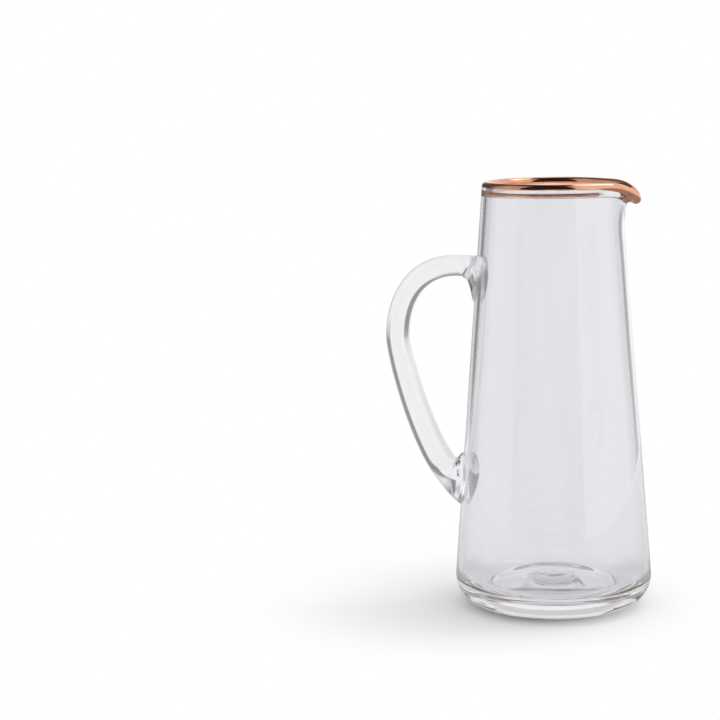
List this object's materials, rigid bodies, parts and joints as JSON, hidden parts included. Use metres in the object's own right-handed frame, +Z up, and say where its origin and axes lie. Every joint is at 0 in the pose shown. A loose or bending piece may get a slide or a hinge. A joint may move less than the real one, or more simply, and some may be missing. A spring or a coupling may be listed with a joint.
{
  "type": "glass pitcher",
  "caption": "Tapering clear glass pitcher with a pulled spout, a looped glass handle and a polished metal band around the lip, for pouring drinks.",
  "frame": {"origin": "on the table, under the middle of the whole part's box; the body's axis is about 21 mm towards +X from it", "axes": "+Z up along the body's axis, +X towards the spout, -X towards the handle"},
  "size_m": [0.158, 0.1158, 0.2518],
  "materials": {
    "clear_glass": "polished",
    "rose_gold": "polished"
  },
  "bodies": {
    "root": {"glass_body": "clear_glass", "handle": "clear_glass", "rim_band": "rose_gold"}
  },
  "joints": []
}
